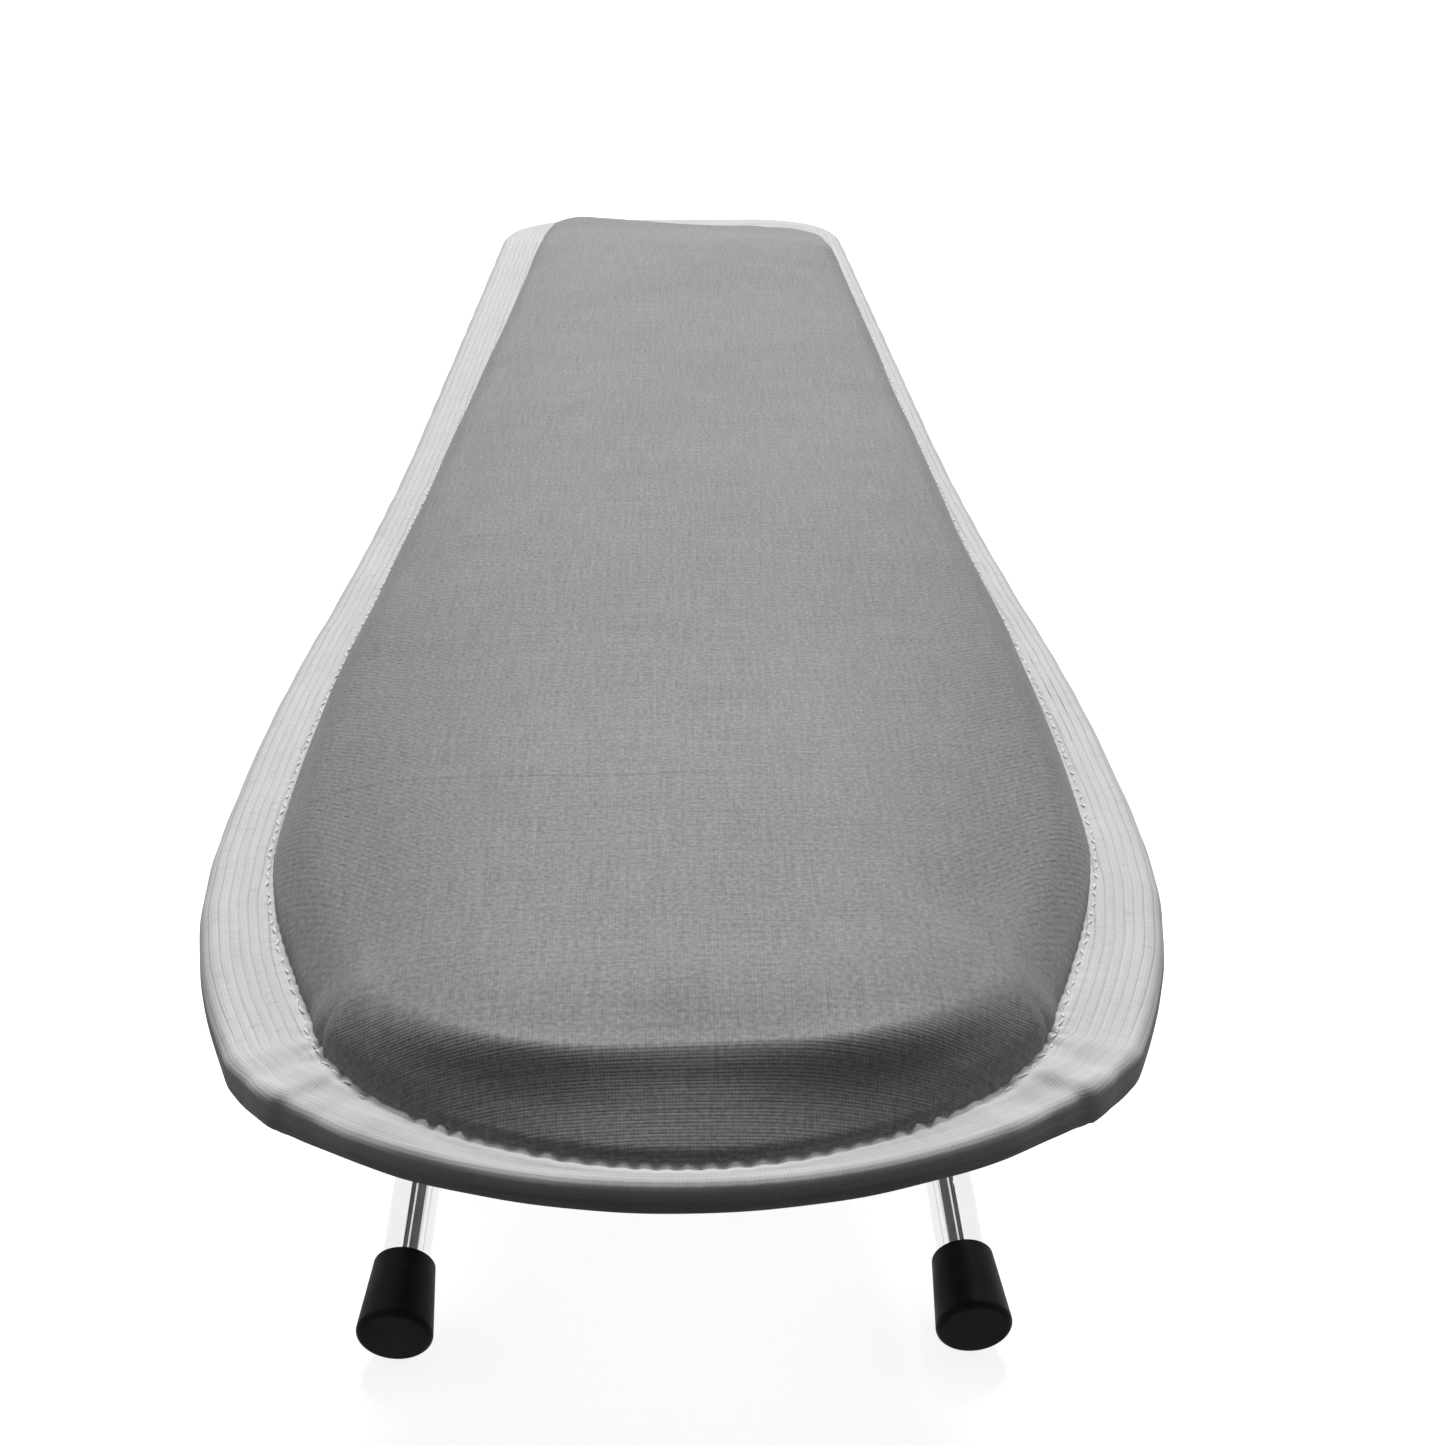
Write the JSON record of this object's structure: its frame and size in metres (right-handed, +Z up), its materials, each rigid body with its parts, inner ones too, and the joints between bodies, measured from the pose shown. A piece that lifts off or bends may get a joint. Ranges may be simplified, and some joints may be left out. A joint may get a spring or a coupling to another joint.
{
  "type": "sleeve ironing board",
  "caption": "Small table-top ironing board: padded bottle-shaped deck with a cloth cover and edge band, on a flat-folding scissor frame of bent tubes with rubber feet.",
  "frame": {"origin": "on the floor, under the middle of the board's bounding box", "axes": "+Y from the wide end to the narrow end, +Z up, +X across; left is -X"},
  "size_m": [0.132, 0.49, 0.112],
  "materials": {
    "grey_cloth": "plain-weave cotton, matt",
    "white_tape": "ribbed woven tape, matt",
    "elastic_cord": "braided elastic",
    "felt": "pressed felt",
    "foam": "open-cell foam",
    "enamelled_steel": "light grey enamel, semi-gloss",
    "zinc_steel": "zinc plated, satin",
    "rivet_steel": "polished rivet steel",
    "chrome_tube": "bright chrome plate",
    "black_rubber": "moulded rubber, satin",
    "nylon": "natural nylon, satin"
  },
  "bodies": {
    "board": {"deck_plate": "enamelled_steel", "stiffener": "enamelled_steel", "bracket_rivets": "rivet_steel", "rail_rivets": "rivet_steel", "felt_underlay": "felt", "foam_pad": "foam", "cover_top": "grey_cloth", "edge_band": "white_tape", "hem_cord": "elastic_cord", "pivot_bracket_left": "zinc_steel", "pivot_block_left": "nylon", "slide_rail_left": "zinc_steel", "pivot_bracket_right": "zinc_steel", "pivot_block_right": "nylon", "slide_rail_right": "zinc_steel"},
    "outer_frame": {"outer_leg_tube": "chrome_tube", "outer_foot_left": "black_rubber", "outer_foot_right": "black_rubber", "cross_rivet_left": "rivet_steel", "cross_rivet_right": "rivet_steel", "cross_spacer_left": "nylon", "cross_spacer_right": "nylon", "cross_washer_left": "rivet_steel", "cross_washer_right": "rivet_steel"},
    "inner_frame": {"inner_leg_tube": "chrome_tube", "inner_foot_left": "black_rubber", "inner_foot_right": "black_rubber", "slide_spool_left": "nylon", "slide_spool_right": "nylon"}
  },
  "joints": [
    {"name": "outer_fold", "type": "hinge", "parent": "board", "child": "outer_frame", "pos_m": [0, 0.15649, 0.0895], "axis": [-1, 0, 0], "range_deg": [0, 15.5]},
    {"name": "inner_fold", "type": "hinge", "parent": "outer_frame", "child": "inner_frame", "pos_m": [0, -0.00196, 0.04556], "axis": [1, 0, 0], "range_deg": [0, 31]}
  ],
  "couplings": [
    {"joint": "inner_fold", "follows": "outer_fold", "ratio": 2}
  ]
}
